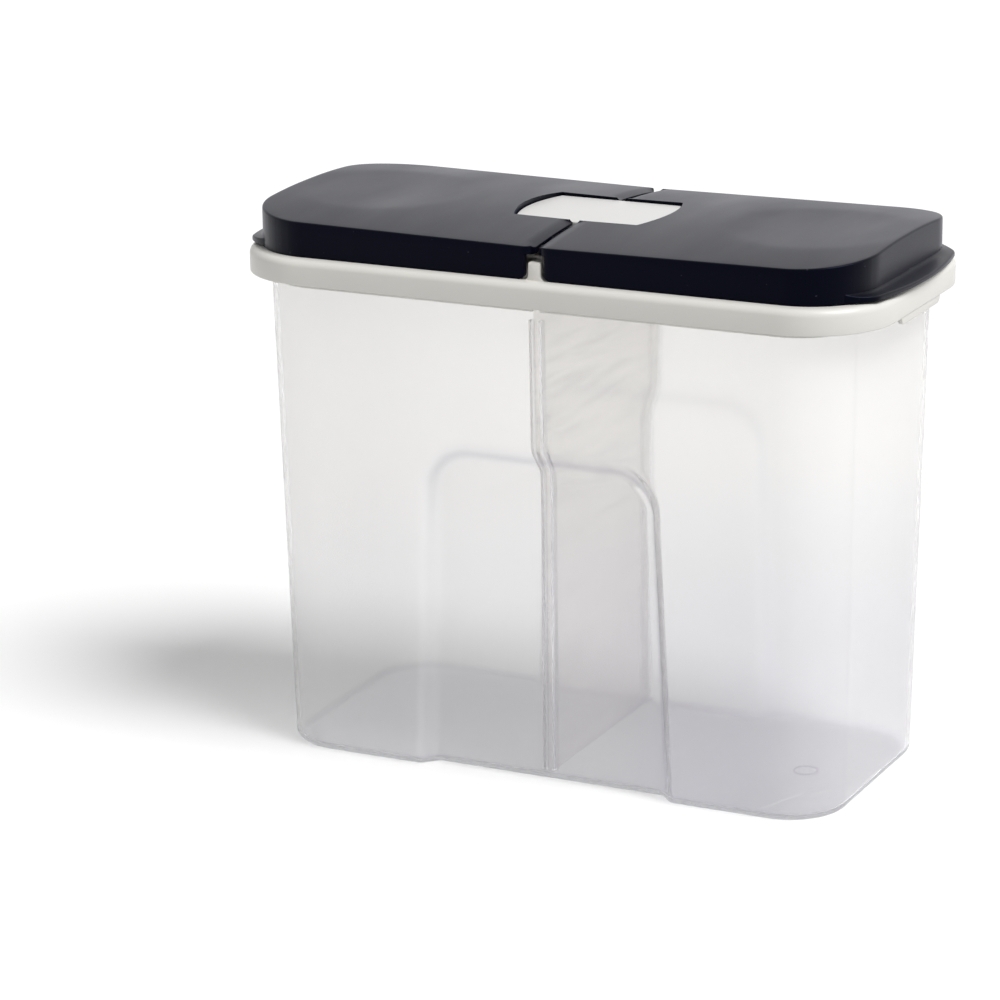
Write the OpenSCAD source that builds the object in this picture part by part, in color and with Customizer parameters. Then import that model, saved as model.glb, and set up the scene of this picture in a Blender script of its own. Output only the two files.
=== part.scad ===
// Two-compartment pouring keeper for dry food: a tapered tub with a waisted
// grip, a dividing plate, a lift-off collar with two pouring mouths, and two
// flip flaps hinged back to back beside a centre plate.
// Millimetres, +Z up, origin on the floor under the middle of the tub.
// X runs along the length, -Y is the front.

/* [Collar] */
// Length of the collar, the longest size of the keeper
rim_length = 240; // [225:1:260]
// Depth of the collar from front to back
rim_depth = 115; // [108:1:124]
// Corner radius of the collar seen from above
rim_corner = 30; // [28:0.5:36]
// Height of the collar's outer band
rim_h = 9; // [7:0.5:12]
// Thickness of the collar's outer band
rim_wall = 2.2; // [1.6:0.1:2.5]
// Rounding of the collar's top outer edge
rim_edge = 2.6; // [1.5:0.1:3]
// Thickness of the collar's flat deck
deck_t = 2.4; // [1.8:0.1:3]
// Width of the ledge left outside the flaps
ledge_w = 4.8; // [3.5:0.1:6]
// Thickness of the sealing skirt that drops into the tub
skirt_t = 1.6; // [1.2:0.1:2.2]
// Depth of the sealing skirt below the deck
skirt_h = 8.8; // [5:0.2:12]
// Width of the pull tab at each end
tab_w = 37; // [24:1:44]
// How far the pull tab hangs below the band
tab_drop = 2.7; // [2:0.1:5]
// Thickness of the pull tab
tab_t = 1.7; // [1.2:0.1:2]
// How far the pull tab lies inside the face of the band
tab_inset = 0.4; // [0.1:0.1:0.8]
// Radius of the pull tab's lower corners
tab_corner = 2.5; // [1:0.5:4]

/* [Tub] */
// Height of the tub's mouth above the floor
tub_h = 179.7; // [160:0.1:200]
// Overhang of the collar beyond the tub's end wall
overhang_x = 10; // [9:0.2:12]
// Overhang of the collar beyond the tub's long wall
overhang_y = 3.8; // [3.6:0.1:5]
// How much narrower the tub is at the floor, on each end
taper_x = 3.6; // [2:0.1:6]
// How much narrower the tub is at the floor, front and back
taper_y = 3.3; // [1.5:0.1:3.6]
// Outer corner radius of the tub at its mouth
tub_corner = 22; // [18:0.5:26]
// Wall thickness of the tub
wall = 1.8; // [1.4:0.1:2.2]
// Thickness of the tub's floor
floor_t = 2.4; // [1.8:0.1:3.5]
// Height of the bevelled edge round the foot
foot_h = 2.2; // [1:0.1:3.5]
// Width of the lip round the mouth of the tub
lip_w = 1.1; // [0.7:0.1:1.4]
// Thickness of the lip round the mouth of the tub
lip_t = 2.4; // [1.6:0.1:3.2]

/* [Waist] */
// Width of the waist recess at the floor
waist_w = 98; // [80:1:110]
// Height of the waist recess
waist_h = 121; // [100:1:135]
// How much narrower the recess is at its top, on each side
waist_lean = 4.5; // [0:0.5:8]
// Depth of the recess from the mouth's wall line
waist_depth = 8.8; // [7:0.2:9.6]
// Width of the sloping sides of the recess
waist_ramp = 5.2; // [3:0.2:8]
// Height of the sloping shoulder at the top of the recess
waist_shoulder = 9; // [5:0.5:14]
// Radius of the recess's upper corners
waist_corner = 17; // [12:0.5:22]

/* [Divider] */
// Thickness of the dividing plate
divider_t = 1.8; // [1.4:0.1:2.4]
// Thickness of each guide rib
rib_t = 1.3; // [1:0.1:2.2]
// How far the guide ribs stand out of the wall
rib_h = 2.4; // [1.8:0.1:3.4]
// How far the dividing plate stops below the mouth
divider_drop = 1.5; // [1:0.1:4]

/* [Flaps] */
// Height of a flap's edge at the middle of the long side, above the deck
flap_h = 11.4; // [11:0.1:13]
// Rise of the crown from the long edge to the centre line
crown = 3.4; // [2.5:0.1:4]
// Rise of the flap's top from the parting line to its outer end
end_rise = 1.2; // [0:0.1:2]
// Thickness of the flap's top and walls
flap_t = 1.8; // [1.5:0.1:2]
// Gap between the two flaps along the parting line
parting_gap = 1.8; // [1.4:0.1:2.2]
// Plan radius of the flap's corners at the parting line
parting_corner = 4; // [3:0.5:5]
// Bevel along the parting line
parting_bevel = 1.6; // [1.5:0.1:2.2]
// Gap between the flaps' long walls, where the post shows
post_gap = 7.4; // [6.8:0.1:9]
// Height of the thin edge left over the post
post_edge = 2.6; // [1.8:0.1:2.8]
// Radius of the flap wall's lower corner beside the post
wall_round = 2.3; // [1.5:0.1:3]
// Distance of the thumb dish's middle from the parting line
dish_x = 78; // [70:0.5:84]
// Half length of the thumb dish
dish_half = 32; // [24:0.5:33]
// Depth of the thumb dish
dish_depth = 1.2; // [0.8:0.1:1.8]
// How far the finger lip stands out at the middle of the flap's end
finger_lip = 7; // [4:0.2:8]
// Width of the finger lip from front to back
finger_lip_w = 92; // [80:1:96]
// Corner radius of the finger lip
finger_lip_corner = 22; // [14:0.5:28]
// Thickness of the finger lip at the flap's wall
finger_lip_t = 2.2; // [1.6:0.1:3]
// Slope of the finger lip's top towards its edge, in degrees
finger_lip_slope = 8; // [0:1:10]
// Radius of the finger lip's bowed edge
finger_lip_bow = 170; // [120:5:300]
// Gap under the finger lip for a fingertip, above the flap's foot
finger_gap = 0.6; // [0.4:0.1:1.2]

/* [Hinges] */
// Distance of each hinge axis from the parting line
hinge_x = 6; // [5.8:0.1:6.5]
// Height of the hinge axis above the deck
hinge_h = 9.8; // [9.6:0.1:10]
// Radius of the hinge pin
pin_r = 1.2; // [1:0.05:1.3]
// Radius of the hinge ear round the pin
ear_r = 2.2; // [2:0.1:2.3]
// Distance of the hinge ear's middle from the centre line
ear_y = 27.5; // [26:0.5:34]
// Thickness of the hinge ear
ear_t = 4; // [2.5:0.1:5]

/* [Mouths] */
// Start of each pouring mouth, measured from the parting line
mouth_in = 30; // [30:0.5:38]
// Distance of the mouth's far edge from the collar's end
mouth_out = 16; // [16:0.5:26]
// Distance of the mouth's long edge from the collar's face
mouth_side = 15.5; // [14:0.5:20]
// Corner radius of the mouth at the outer end
mouth_corner = 16; // [10:0.5:20]
// Corner radius of the mouth beside the bridge
mouth_corner_in = 6; // [3:0.5:10]
// Height of the raised rim round each mouth
mouth_rim_h = 7.3; // [5:0.1:8.5]
// Thickness of the raised rim round each mouth
mouth_rim_t = 1.8; // [1.2:0.1:2]
// Height of the flap's sealing ring above the deck
seal_z = 3.3; // [2:0.1:5]
// Thickness of the flap's sealing ring
seal_t = 1.4; // [1:0.1:1.6]

/* [Bridge] */
// Thickness of the bridge wall under the parting line
bridge_t = 4; // [3:0.1:4.2]
// Height of the bridge wall above the deck
bridge_h = 5; // [3:0.1:5.2]
// Width of the post at each end of the bridge
post_w = 4.4; // [3.6:0.1:4.6]
// Height of the post above the deck
post_h = 6.2; // [5:0.1:6.3]
// Length of the post along the bridge
post_l = 3; // [2:0.1:3]
// Radius of the fillet at the post's foot
post_fillet = 2; // [1:0.1:2.2]

/* [Centre plate] */
// Length of the centre plate at its middle
plate_l = 54; // [50:0.5:55]
// Width of the centre plate
plate_w = 38; // [34:0.5:39]
// Radius of the bowed ends of the centre plate
plate_bow = 48; // [36:1:70]
// Thickness of the centre plate
plate_t = 2; // [1.5:0.1:2.5]
// Corner radius of the centre plate
plate_corner = 2.5; // [1.5:0.1:4]
// Depth of the plate's face below the flaps
plate_sink = 0.8; // [0.5:0.1:1.5]
// Distance of the plate's studs from its middle
stud_x = 13; // [10:0.5:16]
// Radius of the plate's studs
stud_r = 2; // [1.5:0.1:2.5]
// Length of the plate's studs
stud_l = 6; // [4:0.5:8]

/* [Clearances] */
// Gap between faces that rest on each other
seat_gap = 0.1; // [0.05:0.05:0.2]
// Gap round the sealing skirt in the mouth of the tub
skirt_gap = 0.5; // [0.4:0.05:0.6]
// Gap between the flap's sealing ring and the mouth
seal_gap = 0.6; // [0.5:0.05:0.8]
// Gap round the dividing plate in its ribs
divider_gap = 0.3; // [0.2:0.05:0.4]
// Gap between the centre plate and the flaps
plate_gap = 0.7; // [0.6:0.1:1]
// Radial clearance of the hinge pins
pin_gap = 0.08; // [0.04:0.01:0.1]
// Radial clearance of the plate's studs
stud_gap = 0.05; // [0.02:0.01:0.08]

/* [Hidden] */
$fn = 96;
corner_steps = 24;
eps = 0.01;
far = 400;

// heights
deck_under = tub_h + seat_gap;
deck_z = deck_under + deck_t;
band_z = deck_z - rim_h;
flap_z = deck_z + seat_gap;
top_z = deck_z + flap_h + crown;
hinge_z = deck_z + hinge_h;

// plan half sizes
rim_a = rim_length / 2;
rim_b = rim_depth / 2;
tub_a = rim_a - overhang_x;
tub_b = rim_b - overhang_y;
flap_a = rim_a - ledge_w;
flap_b = rim_b - ledge_w;
flap_r = rim_corner - ledge_w;
skirt_a = tub_a - wall - skirt_gap;
skirt_b = tub_b - wall - skirt_gap;
skirt_r = tub_corner - wall - skirt_gap;
mouth_a = rim_a - mouth_out;
mouth_b = rim_b - mouth_side;

// the flap's crown is a big cylinder that lies along X
crown_r = (flap_b * flap_b + crown * crown) / (2 * crown);
end_tilt = atan(end_rise / flap_a);

// the thumb dish is a big cylinder that lies along Y
dish_r = dish_half * dish_half / (2 * dish_depth);
dish_z = top_z + end_rise * dish_x / flap_a - dish_depth;

// the centre plate is set by the flap's top beside it
plate_edge_drop = plate_w * plate_w / (8 * crown_r);
plate_z = top_z - plate_edge_drop - plate_sink - plate_t;

// the waist
waist_y = tub_b - waist_depth;
pad_y = waist_y - wall;

// ---------- flat outlines ----------

// rounded rectangle about the origin, from half sizes and a corner radius
module round_rect(a, b, r)
{
    square([2 * (a - r), 2 * b], center = true);
    square([2 * a, 2 * (b - r)], center = true);
    for (sx = [-1, 1], sy = [-1, 1])
        translate([sx * (a - r), sy * (b - r)])
            circle(r);
}

// outline from x0 to x1 with one radius on the near side, one on the far side
module d_outline(x0, x1, b, r0, r1)
{
    translate([x0 + r0, -b])
        square([x1 - r1 - x0 - r0, 2 * b]);
    translate([x0, -(b - r0)])
        square([r0 + eps, 2 * (b - r0)]);
    translate([x1 - r1 - eps, -(b - r1)])
        square([r1 + eps, 2 * (b - r1)]);
    for (sy = [-1, 1])
    {
        translate([x0 + r0, sy * (b - r0)])
            circle(r0);
        translate([x1 - r1, sy * (b - r1)])
            circle(r1);
    }
}

module flap_outline(inset)
{
    d_outline(parting_gap / 2 + inset, flap_a - inset, flap_b - inset,
        max(parting_corner - inset, 1), flap_r - inset);
}

module mouth_outline(grow)
{
    d_outline(mouth_in - grow, mouth_a + grow, mouth_b + grow,
        mouth_corner_in + grow, mouth_corner + grow);
}

// plate with straight long sides and bowed ends
module plate_outline(grow)
{
    l = plate_l / 2 + grow;
    w = plate_w / 2 + grow;
    intersection()
    {
        round_rect(l, w, plate_corner);
        translate([l - plate_bow, 0])
            circle(plate_bow, $fn = 180);
        translate([plate_bow - l, 0])
            circle(plate_bow, $fn = 180);
    }
}

// the arch of the waist recess, standing in the XZ plane
module waist_outline(half_w, top, r)
{
    for (sx = [-1, 1])
    {
        translate([sx * (half_w - waist_lean - r), top - r])
            circle(r, $fn = 48);
        translate([sx * half_w - 0.5, -4])
            square([1, 1]);
    }
}

// ---------- shared solids ----------

// slab with a rounded rectangle plan and a rounded top edge
module soft_slab(a, b, r, h, e)
{
    for (sx = [-1, 1], sy = [-1, 1])
        translate([sx * (a - r), sy * (b - r), 0])
            rotate_extrude()
            {
                square([r - e, h]);
                square([r, h - e]);
                translate([r - e, h - e])
                    intersection()
                    {
                        circle(e, $fn = 48);
                        square([e, e]);
                    }
            }
    rotate([90, 0, 90])
        linear_extrude(height = 2 * (a - r), center = true)
            soft_section(b, h, e);
    rotate([90, 0, 0])
        linear_extrude(height = 2 * (b - r), center = true)
            soft_section(a, h, e);
}

module soft_section(half, h, e)
{
    translate([-half, 0])
        square([2 * half, h - e]);
    translate([-(half - e), 0])
        square([2 * (half - e), h]);
    for (s = [-1, 1])
        translate([s * (half - e), h - e])
            circle(e, $fn = 48);
}

// points of the same outline in one ring, a quarter circle at each corner
function ring_points(a, b, r) = [
    for (q = [0 : 3], i = [0 : corner_steps])
        let (t = 90 * (q + i / corner_steps))
        [
            (q == 0 || q == 3 ? 1 : -1) * (a - r) + r * cos(t),
            (q < 2 ? 1 : -1) * (b - r) + r * sin(t)
        ]
];

// body that widens evenly from its base to its top
module tapered(z0, z1, a0, b0, a1, b1, r)
{
    translate([0, 0, z0])
        linear_extrude(height = z1 - z0, scale = [a1 / a0, b1 / b0], slices = 1)
            polygon(ring_points(a0, b0, r));
}

// half sizes of the tub's outside at a height
function tub_a_at(z) = tub_a - taper_x * (1 - z / tub_h);
function tub_b_at(z) = tub_b - taper_y * (1 - z / tub_h);

// one waist recess, or the same form grown by a wall for the inside
module waist(grow)
{
    outer_y = tub_b_at(waist_h) - 0.3;
    half = waist_w / 2 + grow;
    hull()
    {
        translate([0, -outer_y, 0])
            rotate([90, 0, 0])
                linear_extrude(height = 4)
                    waist_outline(half, waist_h + grow, waist_corner + grow);
        translate([0, grow - waist_y + eps, 0])
            rotate([90, 0, 0])
                linear_extrude(height = eps)
                    waist_outline(half - waist_ramp, waist_h + grow - waist_shoulder,
                        waist_corner + grow - 3);
    }
}

module both_ways()
{
    children();
    rotate([0, 0, 180])
        children();
}

// ---------- tub ----------

module tub()
{
    color([0.88, 0.89, 0.9, 0.5])
    {
        difference()
        {
            union()
            {
                tapered(0, foot_h, tub_a_at(0) - foot_h * 0.6, tub_b_at(0) - foot_h * 0.6,
                    tub_a_at(foot_h), tub_b_at(foot_h), tub_corner - 2);
                tapered(foot_h, tub_h, tub_a_at(foot_h), tub_b_at(foot_h),
                    tub_a, tub_b, tub_corner - 0.5);
                translate([0, 0, tub_h - lip_t])
                    linear_extrude(height = lip_t)
                        round_rect(tub_a + lip_w, tub_b + lip_w, tub_corner + lip_w);
            }
            both_ways()
                waist(0);
            difference()
            {
                tapered(floor_t, tub_h + 1, tub_a_at(floor_t) - wall, tub_b_at(floor_t) - wall,
                    tub_a_at(tub_h + 1) - wall, tub_b_at(tub_h + 1) - wall,
                    tub_corner - 0.5 - wall);
                both_ways()
                    waist(wall);
            }
        }
        both_ways()
            guide_ribs();
    }
}

// a pair of ribs that follow the wall from the floor up past the recess's shoulder
module guide_ribs()
{
    low_z = floor_t - wall / 2;
    turn_z = waist_h + wall - waist_shoulder;
    wide_z = waist_h + wall;
    end_z = deck_under - skirt_h - 3;
    low_y = pad_y + wall / 2;
    wide_y = tub_b_at(wide_z) - wall / 2;
    end_y = tub_b_at(end_z) - wall / 2;
    reach = rib_h + wall / 2;
    for (sx = [-1, 1])
        translate([sx * (divider_t / 2 + divider_gap + rib_t / 2) - rib_t / 2, 0, 0])
            rotate([90, 0, 90])
                linear_extrude(height = rib_t)
                    polygon([
                        [-low_y, low_z], [reach - low_y, low_z],
                        [reach - low_y, turn_z + reach / 2],
                        [reach - wide_y, wide_z + reach / 2],
                        [reach - end_y, end_z], [-end_y, end_z],
                        [-wide_y, wide_z], [-low_y, turn_z]
                    ]);
}

// ---------- divider ----------

module divider()
{
    end_z = tub_h - divider_drop;
    turn_z = waist_h + wall - waist_shoulder;
    wide_z = waist_h + wall + 2;
    low_y = pad_y - divider_gap;
    wide_y = tub_b_at(wide_z) - wall - divider_gap;
    end_y = tub_b_at(end_z) - wall - divider_gap;
    color([0.9, 0.9, 0.9, 0.6])
        translate([-divider_t / 2, 0, 0])
            rotate([90, 0, 90])
                linear_extrude(height = divider_t)
                    polygon([
                        [-low_y, floor_t + seat_gap], [low_y, floor_t + seat_gap],
                        [low_y, turn_z], [wide_y, wide_z], [end_y, end_z],
                        [-end_y, end_z], [-wide_y, wide_z], [-low_y, turn_z]
                    ]);
}

// ---------- collar ----------

module collar()
{
    color([0.93, 0.92, 0.9])
    {
        difference()
        {
            union()
            {
                collar_shell();
                both_ways()
                    mouth_rim();
            }
            both_ways()
                translate([0, 0, band_z])
                    linear_extrude(height = rim_h + mouth_rim_h + 1)
                        mouth_outline(0);
        }
        skirt();
        both_ways()
            pull_tab();
        bridge();
        both_ways()
            hinge_ears();
        pedestal();
    }
}

// band and deck as one inverted tray
module collar_shell()
{
    difference()
    {
        translate([0, 0, band_z])
            soft_slab(rim_a, rim_b, rim_corner, rim_h, rim_edge);
        translate([0, 0, band_z - 1])
            linear_extrude(height = rim_h - deck_t + 1)
                round_rect(rim_a - rim_wall, rim_b - rim_wall, rim_corner - rim_wall);
    }
}

module mouth_rim()
{
    translate([0, 0, deck_z - eps])
        linear_extrude(height = mouth_rim_h + eps)
            mouth_outline(mouth_rim_t);
}

// sealing skirt, slotted where the dividing plate passes
module skirt()
{
    difference()
    {
        translate([0, 0, deck_under - skirt_h])
            linear_extrude(height = skirt_h + eps)
                difference()
                {
                    round_rect(skirt_a, skirt_b, skirt_r);
                    round_rect(skirt_a - skirt_t, skirt_b - skirt_t, skirt_r - skirt_t);
                }
        translate([-divider_t / 2 - 2 * divider_gap, -far / 2, deck_under - skirt_h - 1])
            cube([divider_t + 4 * divider_gap, far, skirt_h + 0.5]);
    }
}

module pull_tab()
{
    tab_z = band_z - tab_drop;
    translate([rim_a - tab_inset - tab_t, 0, tab_z])
        rotate([90, 0, 90])
            linear_extrude(height = tab_t)
            {
                translate([-tab_w / 2, tab_corner])
                    square([tab_w, deck_under - tab_z - tab_corner]);
                translate([-(tab_w / 2 - tab_corner), 0])
                    square([tab_w - 2 * tab_corner, tab_corner + eps]);
                for (s = [-1, 1])
                    translate([s * (tab_w / 2 - tab_corner), tab_corner])
                        circle(tab_corner);
            }
}

// low wall under the parting line with a filleted post at each end
module bridge()
{
    inner = flap_b - post_l;
    translate([-bridge_t / 2, -inner - eps, deck_z - eps])
        cube([bridge_t, 2 * (inner + eps), bridge_h + eps]);
    both_ways()
        translate([0, flap_b, deck_z])
            rotate([90, 0, 0])
                linear_extrude(height = post_l)
                    post_section();
}

module post_section()
{
    translate([-post_w / 2, -eps])
        square([post_w, post_h + eps]);
    difference()
    {
        translate([-post_w / 2 - post_fillet, -eps])
            square([post_w + 2 * post_fillet, post_fillet + eps]);
        for (s = [-1, 1])
            translate([s * (post_w / 2 + post_fillet), post_fillet])
                circle(post_fillet, $fn = 48);
    }
}

module hinge_ears()
{
    for (sy = [-1, 1])
        translate([hinge_x, sy * ear_y + ear_t / 2, 0])
            rotate([90, 0, 0])
                linear_extrude(height = ear_t)
                    difference()
                    {
                        union()
                        {
                            translate([0, hinge_z])
                                circle(ear_r);
                            translate([-ear_r, deck_z - eps])
                                square([2 * ear_r, hinge_h + eps]);
                        }
                        translate([0, hinge_z])
                            circle(pin_r + pin_gap, $fn = 48);
                    }
}

// ribs and two socket bosses that carry the centre plate
module pedestal()
{
    h = plate_z - deck_z;
    w = plate_w / 2 - 4;
    l = plate_l / 2 - 7;
    difference()
    {
        union()
        {
            translate([-bridge_t / 2, -w, deck_z - eps])
                cube([bridge_t, 2 * w, h + eps]);
            for (s = [-1, 1])
            {
                translate([-l, s * (w - 4) - 1, deck_z - eps])
                    cube([2 * l, 2, h + eps]);
                translate([s * stud_x, 0, deck_z - eps])
                    cylinder(r = stud_r + 1.6, h = h + eps, $fn = 48);
            }
            translate([-stud_x, -1, deck_z - eps])
                cube([2 * stud_x, 2, h + eps]);
        }
        for (s = [-1, 1])
            translate([s * stud_x, 0, plate_z - stud_l - 0.5])
                cylinder(r = stud_r + stud_gap, h = stud_l + 1, $fn = 48);
    }
}

// ---------- centre plate ----------

module centre_plate()
{
    color([0.93, 0.92, 0.9])
    {
        translate([0, 0, plate_z])
            linear_extrude(height = plate_t)
                plate_outline(0);
        for (s = [-1, 1])
            translate([s * stud_x, 0, plate_z - stud_l])
                cylinder(r = stud_r, h = stud_l + eps, $fn = 48);
    }
}

// ---------- flaps ----------

// everything under the crowned top, lowered by a thickness
module under_crown(drop)
{
    translate([0, 0, top_z - crown_r])
        rotate([0, 90 - end_tilt, 0])
            translate([0, 0, -20])
                cylinder(r = crown_r - drop, h = rim_a + 60, $fn = 720);
}

// everything under the bevel along the parting line
module under_bevel()
{
    r = crown_r * sqrt(2);
    translate([parting_gap / 2 + parting_bevel, 0, top_z])
        rotate([0, 45, 0])
            translate([r, 0, -far])
                cylinder(r = r, h = 2 * far, $fn = 1080);
}

module dish(grow)
{
    translate([dish_x, far / 2, dish_z + dish_r])
        rotate([90, 0, 0])
            cylinder(r = dish_r + grow, h = far, $fn = 540);
}

module flap_shell()
{
    difference()
    {
        intersection()
        {
            translate([0, 0, flap_z])
                linear_extrude(height = 2 * flap_h)
                    flap_outline(0);
            under_crown(0);
            under_bevel();
        }
        dish(0);
        difference()
        {
            intersection()
            {
                translate([0, 0, flap_z - 1])
                    linear_extrude(height = 2 * flap_h)
                        d_outline(-20, flap_a - flap_t, flap_b - flap_t, 4, flap_r - flap_t);
                under_crown(flap_t);
            }
            dish(flap_t);
        }
        // the walls stop beside the post, with a rounded lower corner
        translate([-20, -far / 2, flap_z - 1])
            cube([20 + post_gap / 2, far, deck_z + flap_h - post_edge - flap_z + 1]);
        difference()
        {
            translate([post_gap / 2 - eps, -far / 2, flap_z - 1])
                cube([wall_round + eps, far, wall_round + 1]);
            translate([post_gap / 2 + wall_round, far / 2, flap_z + wall_round])
                rotate([90, 0, 0])
                    cylinder(r = wall_round, h = far, $fn = 48);
        }
        translate([0, 0, deck_z + mouth_rim_h])
            linear_extrude(height = far)
                plate_outline(plate_gap);
    }
}

// ring that closes the pouring mouth
module seal_ring()
{
    difference()
    {
        intersection()
        {
            translate([0, 0, deck_z + seal_z])
                linear_extrude(height = 2 * flap_h)
                    difference()
                    {
                        mouth_outline(-seal_gap);
                        mouth_outline(-seal_gap - seal_t);
                    }
            under_crown(flap_t / 2);
        }
        dish(flap_t / 2);
    }
}

// thin crescent at the foot of the end wall, for a fingertip
module finger_flange()
{
    lip_a = flap_a + finger_lip;
    difference()
    {
        translate([0, 0, flap_z + finger_gap])
            linear_extrude(height = finger_lip_t)
                intersection()
                {
                    d_outline(flap_a / 2, lip_a, finger_lip_w / 2, 1, finger_lip_corner);
                    translate([lip_a - finger_lip_bow, 0])
                        circle(finger_lip_bow, $fn = 360);
                }
        translate([flap_a, 0, flap_z + finger_gap + finger_lip_t])
            rotate([0, finger_lip_slope, 0])
                translate([0, -far / 2, 0])
                    cube([far, far, far]);
        translate([0, 0, flap_z - 1])
            linear_extrude(height = finger_lip_t + finger_gap + 2)
                flap_outline(flap_t / 2);
    }
}

// cheeks under the flap with a pin that points to the middle
module hinge_cheeks()
{
    cheek_t = 2.5;
    cheek_y = ear_y + ear_t / 2 + 0.3;
    for (sy = [-1, 1])
    {
        intersection()
        {
            translate([hinge_x, 0, 0])
                rotate([90, 0, 0])
                    translate([0, 0, sy * (cheek_y + cheek_t / 2) - cheek_t / 2])
                        linear_extrude(height = cheek_t)
                        {
                            translate([0, hinge_z])
                                circle(ear_r);
                            translate([-ear_r, hinge_z])
                                square([2 * ear_r, flap_h]);
                        }
            under_crown(flap_t / 2);
        }
        translate([hinge_x, 0, hinge_z])
            rotate([90, 0, 0])
                translate([0, 0, sy * (cheek_y - ear_t / 2 - 0.3 + eps) - ear_t / 2 - 0.3])
                    cylinder(r = pin_r, h = ear_t + 0.6, $fn = 48);
    }
}

module flap()
{
    flap_shell();
    seal_ring();
    finger_flange();
    hinge_cheeks();
}

module right_flap()
{
    color([0.06, 0.07, 0.12])
        flap();
}

module left_flap()
{
    color([0.06, 0.07, 0.12])
        rotate([0, 0, 180])
            flap();
}

tub();
divider();
collar();
centre_plate();
left_flap();
right_flap();
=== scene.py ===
import math

import bmesh
import bpy
from mathutils import Matrix, Vector


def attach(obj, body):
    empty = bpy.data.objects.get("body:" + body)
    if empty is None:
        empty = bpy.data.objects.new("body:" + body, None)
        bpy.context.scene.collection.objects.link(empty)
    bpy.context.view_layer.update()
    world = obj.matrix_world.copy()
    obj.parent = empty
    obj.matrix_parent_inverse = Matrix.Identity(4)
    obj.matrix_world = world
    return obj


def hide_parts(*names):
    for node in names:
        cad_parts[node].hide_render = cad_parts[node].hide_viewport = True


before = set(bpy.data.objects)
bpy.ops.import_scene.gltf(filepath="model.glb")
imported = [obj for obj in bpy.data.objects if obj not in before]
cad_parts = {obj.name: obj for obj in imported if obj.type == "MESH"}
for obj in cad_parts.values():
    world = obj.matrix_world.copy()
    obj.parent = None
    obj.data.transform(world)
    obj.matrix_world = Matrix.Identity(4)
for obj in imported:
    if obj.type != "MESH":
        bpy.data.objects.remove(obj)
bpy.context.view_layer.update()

# ---------- tub ----------
# The tub is one injection moulding in frosted polypropylene, drafted so that it leaves
# its mould, with a hand-wide recess pressed into each long wall. Two upright ribs on
# each long wall hold the dividing plate, and a lip runs round the mouth.

MM = 0.001

tub_height = 179.7
tub_wall = 1.8
tub_corner = 21.5
foot_half_length = 106.4
foot_half_depth = 50.4
draft_along = 3.6
draft_across = 3.3
foot_round = 3.0
recess_half = 49.0
recess_top = 121.0
recess_lean = 4.5
lean_from = -4
lean_column = 8
lean_span = 20
recess_corner = 17.0
recess_spring = recess_top - recess_corner
recess_y = 44.9
recess_side = 5.2
recess_shoulder = 9.0
recess_softness = 0.11
fine_from = 26
fine_to = 50.75
fine_step = 0.75
rib_near = 1.2
rib_far = 2.5
rib_reach = 2.4
rib_end = 168.0
lip_reach = 1.1
lip_drop = 2.4


def wall_half_length(z):
    return foot_half_length + draft_along * z / tub_height


def wall_half_depth(z):
    return foot_half_depth + draft_across * z / tub_height


def soft_step(s, soft):
    """0 before 0, 1 after 1, a straight ramp between, with rounded ends."""
    return (math.hypot(s, soft) - math.hypot(s - 1, soft) + 1) / 2


def lean_at(z):
    """How far each side of the recess has leaned in at one height."""
    full = recess_spring - lean_from
    return recess_lean * min(z - lean_from, full) / full


def recess_share(x, z):
    """How far into the recess a point of the long wall lies, from 0 to 1."""
    half = recess_half - lean_at(z)
    across = max(abs(x) - (half - recess_corner), 0.0)
    above = max(z - recess_spring, 0.0)
    inside = recess_corner - math.hypot(across, above)
    steep = above / math.hypot(across, above) if above > 0 else 0.0
    ramp = recess_side + (recess_shoulder - recess_side) * steep
    return soft_step(inside / ramp, recess_softness)


def outer_y(x, z):
    """How far the outer face of the long wall stands from the middle plane."""
    return wall_half_depth(z) - (wall_half_depth(z) - recess_y) * recess_share(x, z)


def wall_columns():
    """Where the upright edges of the mesh stand on half of a long wall, from its middle.
    They stand close together where the recess ramps."""
    near = [rib_near, rib_far, 5, 8, 11, 14, 17, 20, 23]
    close = [fine_from + fine_step * i for i in range(34)]
    return near + close + [54, 58, 63, 69, 75, 82]


def column_x(c, z):
    """Place of an edge at one height: it leans with the recess or fills up to the corner."""
    if c <= fine_to:
        return c - lean_at(z) * min(max((c - lean_column) / lean_span, 0), 1)
    end = wall_half_length(z) - tub_corner
    share = (c - fine_to) / (wall_half_length(tub_height) - tub_corner - fine_to)
    start = fine_to - lean_at(z)
    return start + (end - start) * share


def wall_ring(z, inset):
    """Points round the tub at one height, counter-clockwise from the front middle."""
    a = wall_half_length(z) - inset
    b = wall_half_depth(z) - inset
    r = tub_corner - inset
    side = []
    for c in wall_columns():
        x = column_x(c, z)
        side.append((x, inset - outer_y(x, z)))
    turn = [math.radians(90 * i / 20 - 90) for i in range(21)]
    corner = [(a - r + r * math.cos(t), -(b - r) + r * math.sin(t)) for t in turn]
    flat = [(a, (b - r) * (i / 4 - 1)) for i in range(1, 5)]
    quarter = side + corner + flat[:-1]
    right = quarter + [(a, 0.0)] + [(x, -y) for x, y in reversed(quarter)]
    middle = outer_y(0, z) - inset
    return [(0.0, -middle)] + right + [(0.0, middle)] + [(-x, -y) for x, y in right]


def ring(bm, points, z):
    """A closed ring of vertices, one for each point."""
    made = bmesh.ops.create_circle(bm, segments=len(points), radius=1)["verts"]
    made.sort(key=lambda v: math.atan2(v.co.y, v.co.x))
    for vert, (x, y) in zip(made, points):
        vert.co = (x, y, z)
    return made


def ring_edges(loop):
    """The edges between neighbours of a closed ring."""
    return [edge for a, b in zip(loop, loop[1:] + loop[:1])
            for edge in a.link_edges if edge.other_vert(a) is b]


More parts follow.
